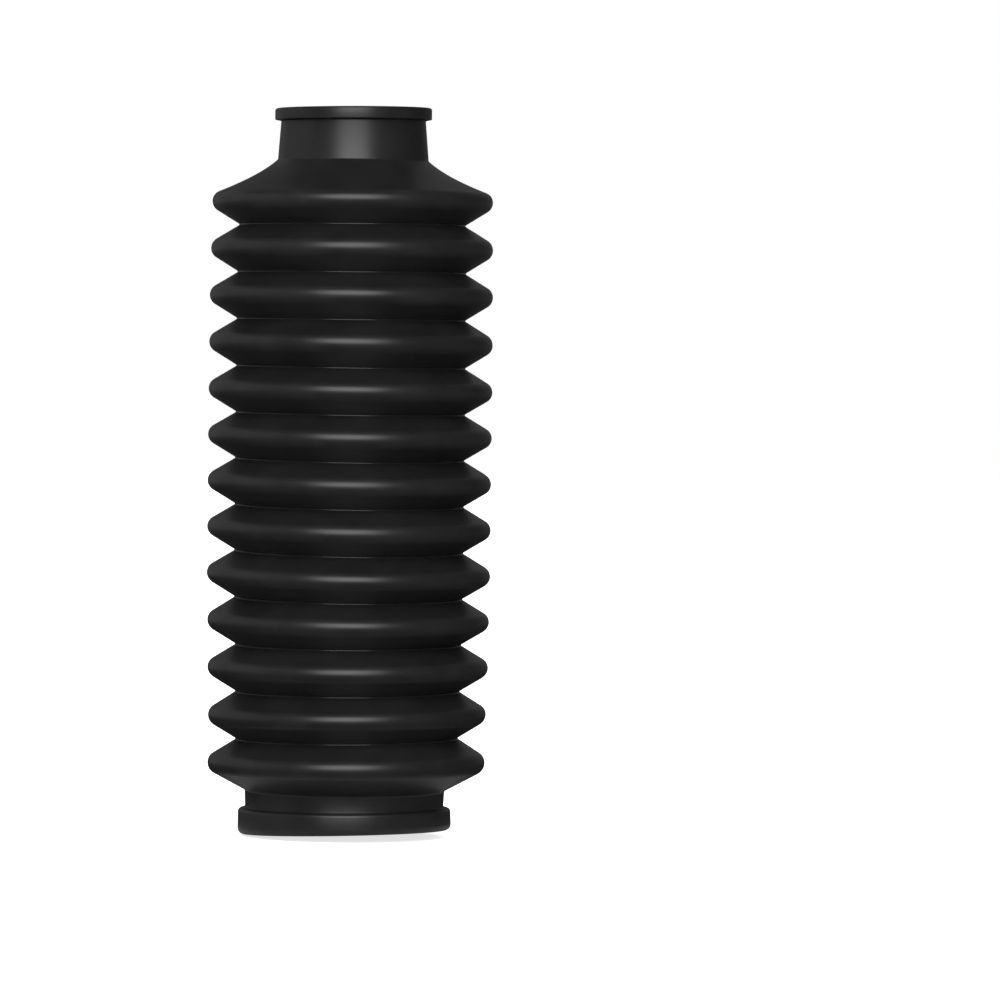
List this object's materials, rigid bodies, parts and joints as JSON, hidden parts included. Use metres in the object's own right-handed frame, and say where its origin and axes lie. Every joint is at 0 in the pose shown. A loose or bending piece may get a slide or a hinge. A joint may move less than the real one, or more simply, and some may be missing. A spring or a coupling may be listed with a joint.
{
  "type": "fork gaiter",
  "caption": "Folded rubber sleeve that keeps dirt off a motorbike fork: a narrow cuff on top, even round folds along its length, and a wide beaded cuff below.",
  "frame": {"origin": "centre of the bottom face of the wide lower cuff, on the axis of the sleeve", "axes": "+Z along the axis, from the wide lower cuff up to the narrow upper cuff; the sleeve is the same all round, so X and Y are free"},
  "size_m": [0.092, 0.0914, 0.2344],
  "materials": {
    "rubber": "satin"
  },
  "bodies": {
    "root": {"gaiter": "rubber"}
  },
  "joints": []
}
